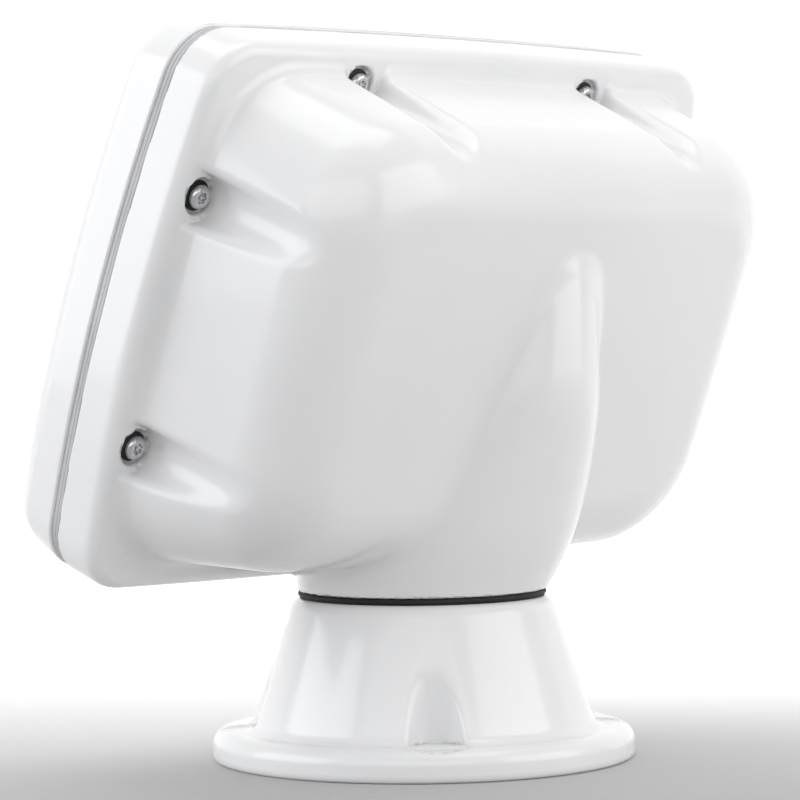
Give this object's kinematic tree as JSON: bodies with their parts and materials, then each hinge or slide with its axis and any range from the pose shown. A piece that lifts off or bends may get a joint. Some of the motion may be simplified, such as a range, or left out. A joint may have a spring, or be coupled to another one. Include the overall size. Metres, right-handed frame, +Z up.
{
  "type": "marine display pod",
  "caption": "White helm display pod on a round flared pedestal: a tilted rounded housing with tamper-resistant screws in scallops, swivelling on a black seal ring.",
  "frame": {"origin": "centre of the pedestal's underside, on the swivel axis", "axes": "+Z up along the swivel axis, screen faces -Y and leans back, +X to the right of a person facing the screen"},
  "size_m": [0.31, 0.1772, 0.2917],
  "materials": {
    "white_moulding": "gloss",
    "black_rubber": "matt",
    "grey_silicone": "matt",
    "brass": "satin",
    "stainless": "polished",
    "acetal": "satin",
    "alloy": "anodised",
    "black_alloy": "black anodised",
    "black_plastic": "satin",
    "screen_glass": "gloss",
    "screen_panel": "gloss",
    "circuit_board": "satin",
    "key_plastic": "satin"
  },
  "bodies": {
    "pedestal": {"pedestal_base": "white_moulding", "deck_gasket": "black_rubber", "deck_inserts": "brass", "swivel_seal": "black_rubber", "swivel_bushing": "acetal", "thrust_washer": "acetal", "stop_pin": "stainless"},
    "pod": {"rear_housing": "white_moulding", "front_housing": "white_moulding", "cable_grommet": "black_rubber", "display_gasket": "black_rubber", "key_pads": "black_rubber", "housing_gasket": "grey_silicone", "screw_inserts": "brass", "security_screws": "stainless", "screw_washers": "black_rubber", "spindle_screws": "stainless", "spring_washer": "stainless", "clamp_studs": "stainless", "door_pin": "stainless", "spindle_nut": "alloy", "spindle_tube": "alloy", "heat_sink": "black_alloy", "display_bezel": "black_plastic", "display_case": "black_plastic", "knob_encoder": "black_plastic", "clamp_brackets": "black_plastic", "clamp_nuts": "black_plastic", "power_socket": "black_plastic", "data_sockets": "black_plastic", "board_parts": "black_plastic", "cover_glass": "screen_glass", "lcd_panel": "screen_panel", "main_board": "circuit_board", "key_board": "circuit_board"},
    "power_key": {"power_key": "key_plastic"},
    "menu_key": {"menu_key": "key_plastic"},
    "page_key": {"page_key": "key_plastic"},
    "mark_key": {"mark_key": "key_plastic"},
    "exit_key": {"exit_key": "key_plastic"},
    "knob": {"knob_cap": "black_plastic", "knob_shaft": "stainless"},
    "card_door": {"card_door": "black_plastic"}
  },
  "joints": [
    {"name": "pod_swivel", "type": "hinge", "parent": "pedestal", "child": "pod", "pos_m": [0, 0, 0.0676], "axis": [0, 0, 1], "range_deg": [-170, 170]},
    {"name": "power_key_press", "type": "slide", "parent": "pod", "child": "power_key", "axis": [0, 0.9336, -0.3584], "range_m": [0, 0.001], "stiffness_N_per_m": 400, "springref_m": -0.001},
    {"name": "menu_key_press", "type": "slide", "parent": "pod", "child": "menu_key", "axis": [0, 0.9336, -0.3584], "range_m": [0, 0.001], "stiffness_N_per_m": 400, "springref_m": -0.001},
    {"name": "page_key_press", "type": "slide", "parent": "pod", "child": "page_key", "axis": [0, 0.9336, -0.3584], "range_m": [0, 0.001], "stiffness_N_per_m": 400, "springref_m": -0.001},
    {"name": "mark_key_press", "type": "slide", "parent": "pod", "child": "mark_key", "axis": [0, 0.9336, -0.3584], "range_m": [0, 0.001], "stiffness_N_per_m": 400, "springref_m": -0.001},
    {"name": "exit_key_press", "type": "slide", "parent": "pod", "child": "exit_key", "axis": [0, 0.9336, -0.3584], "range_m": [0, 0.001], "stiffness_N_per_m": 400, "springref_m": -0.001},
    {"name": "knob_turn", "type": "hinge", "parent": "pod", "child": "knob", "pos_m": [0.106, -0.07154, 0.16403], "axis": [0, -0.9336, 0.3584], "continuous": true},
    {"name": "card_door_hinge", "type": "hinge", "parent": "pod", "child": "card_door", "pos_m": [0.106, -0.07993, 0.12949], "axis": [1, 0, 0], "range_deg": [0, 100]}
  ]
}
